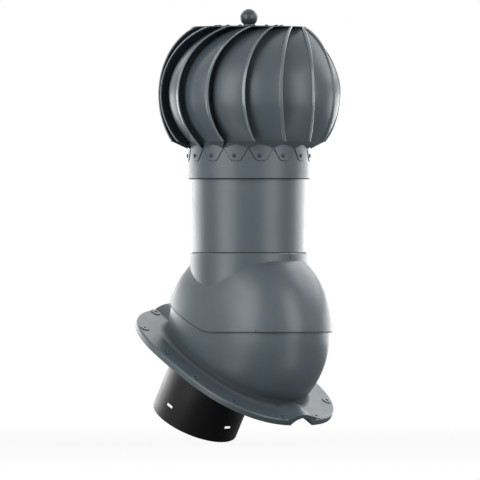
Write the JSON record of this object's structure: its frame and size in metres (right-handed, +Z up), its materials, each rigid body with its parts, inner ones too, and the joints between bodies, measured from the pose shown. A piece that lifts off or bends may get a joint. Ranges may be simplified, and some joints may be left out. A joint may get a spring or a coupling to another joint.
{
  "type": "roof turbine ventilator",
  "caption": "Wind-driven turbine ventilator on an insulated riser pipe, with a pitched-roof base whose head tilts upright and a round duct spigot below.",
  "frame": {"origin": "where the duct spigot's axis crosses the plane of the roof under the flange", "axes": "+Z up along the turbine's shaft; +X level, towards the eaves; +Y level, across the slope. The roof plane falls 30 degrees towards +X."},
  "size_m": [0.2928, 0.2535, 0.6075],
  "materials": {
    "shell_plastic": "satin graphite",
    "duct_plastic": "satin black",
    "rubber": "matt black",
    "foam": "closed-cell foam, matt dark grey",
    "steel": "stainless, lightly brushed",
    "bearing_steel": "ground and polished",
    "white_plastic": "matt off-white",
    "cast_aluminium": "as cast, matt",
    "coated_aluminium": "satin graphite powder coat",
    "rivet_aluminium": "satin, coated with the blades"
  },
  "bodies": {
    "base": {"base_shell": "shell_plastic", "spigot_pipe": "duct_plastic", "spigot_seal": "rubber", "spigot_screws": "steel", "roof_gasket": "foam", "pivot_screw_left": "steel", "pivot_screw_right": "steel"},
    "head": {"upper_shell": "shell_plastic", "riser_pipe": "shell_plastic", "inner_duct": "duct_plastic", "insulation_sleeve": "foam", "riser_cap_ring": "shell_plastic", "pivot_bush_left": "white_plastic", "pivot_bush_right": "white_plastic", "bearing_bracket": "cast_aluminium", "bracket_screws": "steel", "bearing_housing": "cast_aluminium", "housing_screws": "steel", "lower_bearing_outer_ring": "bearing_steel", "upper_bearing_outer_ring": "bearing_steel", "housing_circlip": "steel"},
    "turbine": {"shaft": "steel", "lower_bearing_inner_ring": "bearing_steel", "upper_bearing_inner_ring": "bearing_steel", "bearing_spacer": "white_plastic", "rain_slinger": "white_plastic", "shaft_washer": "steel", "shaft_nut": "steel", "rotor_collar": "coated_aluminium", "blade_01": "coated_aluminium", "blade_02": "coated_aluminium", "blade_03": "coated_aluminium", "blade_04": "coated_aluminium", "blade_05": "coated_aluminium", "blade_06": "coated_aluminium", "blade_07": "coated_aluminium", "blade_08": "coated_aluminium", "blade_09": "coated_aluminium", "blade_10": "coated_aluminium", "blade_11": "coated_aluminium", "blade_12": "coated_aluminium", "blade_13": "coated_aluminium", "blade_14": "coated_aluminium", "blade_15": "coated_aluminium", "collar_rivets": "rivet_aluminium", "hub_washer": "steel", "top_disc": "coated_aluminium", "cover_disc": "coated_aluminium", "top_rivets": "rivet_aluminium", "ball_nut": "coated_aluminium"}
  },
  "joints": [
    {"name": "pitch_adjust", "type": "hinge", "parent": "base", "child": "head", "pos_m": [0.05758, 0, 0.03754], "axis": [0, 1, 0], "range_deg": [0, 25]},
    {"name": "turbine_spin", "type": "hinge", "parent": "head", "child": "turbine", "pos_m": [0.05758, 0, 0.27], "axis": [0, 0, 1], "continuous": true}
  ]
}
